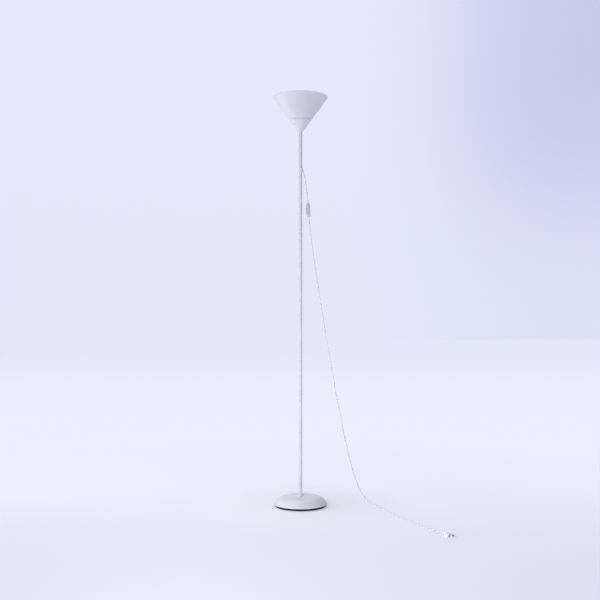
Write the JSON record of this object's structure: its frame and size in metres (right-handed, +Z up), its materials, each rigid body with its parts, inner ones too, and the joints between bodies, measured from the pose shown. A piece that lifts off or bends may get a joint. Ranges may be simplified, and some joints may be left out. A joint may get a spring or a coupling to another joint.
{
  "type": "torchiere floor lamp",
  "caption": "Torchiere floor lamp: flat conical uplight shade on a slim pole with a round domed weighted base, cord with an inline rocker switch and a flat mains plug.",
  "frame": {"origin": "centre of the base on the floor, under the foot ring", "axes": "+Z up along the pole, -Y to the side that the cord leaves the pole, +X to the side that the cord hangs"},
  "size_m": [0.6999, 0.6928, 1.7838],
  "materials": {
    "white_enamel": "semi-gloss baked enamel",
    "foot_rubber": "matt",
    "zinc_steel": "zinc plated",
    "base_iron": "as cast, black dip",
    "brass": "plain",
    "holder_plastic": "satin thermoset",
    "holder_ceramic": "unglazed steatite",
    "bulb_plastic": "satin",
    "bulb_opal": "opal",
    "bulb_metal": "satin",
    "bulb_insulation": "gloss",
    "cord_pvc": "satin PVC",
    "grommet_rubber": "satin",
    "switch_plastic": "satin",
    "rocker_plastic": "satin",
    "plug_plastic": "satin PVC",
    "pin_nickel": "bright nickel",
    "pin_sleeve": "satin"
  },
  "bodies": {
    "lamp": {"base_cover": "white_enamel", "foot_collar": "white_enamel", "pole_lower": "white_enamel", "pole_middle": "white_enamel", "pole_upper": "white_enamel", "socket_cup": "white_enamel", "shade": "white_enamel", "base_foot_ring": "foot_rubber", "base_bottom_plate": "zinc_steel", "base_washer": "zinc_steel", "base_bolt": "zinc_steel", "pole_foot_insert": "zinc_steel", "lower_joint_stud": "zinc_steel", "lower_joint_insert": "zinc_steel", "upper_joint_stud": "zinc_steel", "upper_joint_insert": "zinc_steel", "pole_top_insert": "zinc_steel", "cup_washer": "zinc_steel", "cup_nut": "zinc_steel", "switch_screws": "zinc_steel", "base_weight": "base_iron", "top_nipple": "brass", "holder_contact": "brass", "holder_terminals": "brass", "holder_screw_shell": "brass", "switch_contacts": "brass", "holder_base": "holder_plastic", "holder_sleeve": "holder_plastic", "shade_ring": "holder_plastic", "holder_core": "holder_ceramic", "cord_inner": "cord_pvc", "cord_upper": "cord_pvc", "cord_lower": "cord_pvc", "lead_wires": "cord_pvc", "cord_grommet": "grommet_rubber", "switch_front_shell": "switch_plastic", "switch_back_shell": "switch_plastic", "plug_body": "plug_plastic", "plug_relief": "plug_plastic", "plug_pins": "pin_nickel", "plug_pin_sleeves": "pin_sleeve"},
    "rocker": {"switch_rocker": "rocker_plastic"},
    "bulb": {"bulb_contact": "brass", "bulb_insulator": "bulb_insulation", "bulb_cap": "bulb_metal", "bulb_housing": "bulb_plastic", "bulb_led_board": "bulb_metal", "bulb_diffuser": "bulb_opal"}
  },
  "joints": [
    {"name": "switch_rocker", "type": "hinge", "parent": "lamp", "child": "rocker", "pos_m": [0.03047, -0.02071, 1.28874], "axis": [-0.0698, 0.9975, 0.0126], "range_deg": [0, 16]},
    {"name": "bulb_lift", "type": "slide", "parent": "lamp", "child": "bulb", "axis": [0, 0, 1], "range_m": [0, 0.12]}
  ]
}
